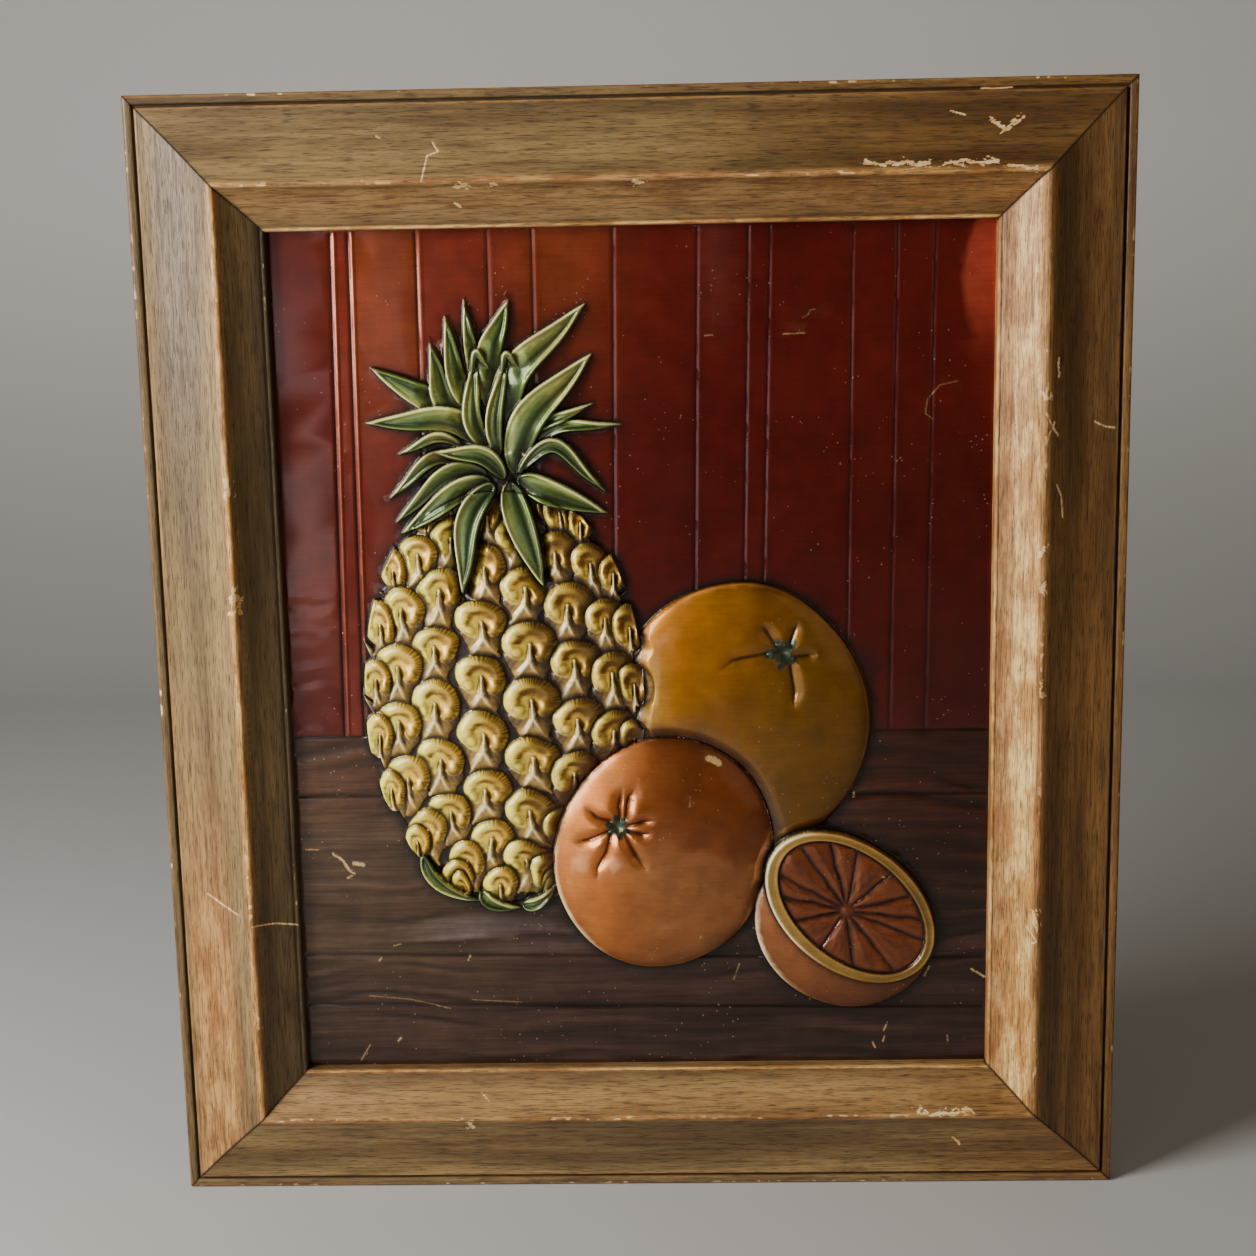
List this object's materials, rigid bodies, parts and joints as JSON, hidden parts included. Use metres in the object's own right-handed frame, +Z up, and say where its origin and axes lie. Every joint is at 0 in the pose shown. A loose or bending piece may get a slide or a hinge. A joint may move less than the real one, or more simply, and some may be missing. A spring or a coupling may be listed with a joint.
{
  "type": "framed embossed copper wall art",
  "caption": "Embossed, lacquered copper panel of a pineapple and citrus fruit before a boarded wall, in a wide mitred wooden frame that hangs on a nail.",
  "frame": {"origin": "middle of the toothed hanger's rear face, where the part rests against the wall", "axes": "+Z up, +Y into the wall, the picture faces -Y and +X is to the viewer's right"},
  "size_m": [0.558, 0.0346, 0.6465],
  "materials": {
    "wood": "worn satin stain on mitred moulding, with chipped pale edges",
    "lacquered_copper": "copper sheet under glossy tinted lacquers: red-brown ground, yellow, green and orange fruit",
    "hardboard": "matt brown hardboard",
    "steel": "dull zinc plating"
  },
  "bodies": {
    "root": {"frame_top_rail": "wood", "frame_bottom_rail": "wood", "frame_left_rail": "wood", "frame_right_rail": "wood", "copper_relief": "lacquered_copper", "backing_board": "hardboard", "hanger_plate": "steel", "hanger_nail_left": "steel", "hanger_nail_right": "steel"}
  },
  "joints": []
}
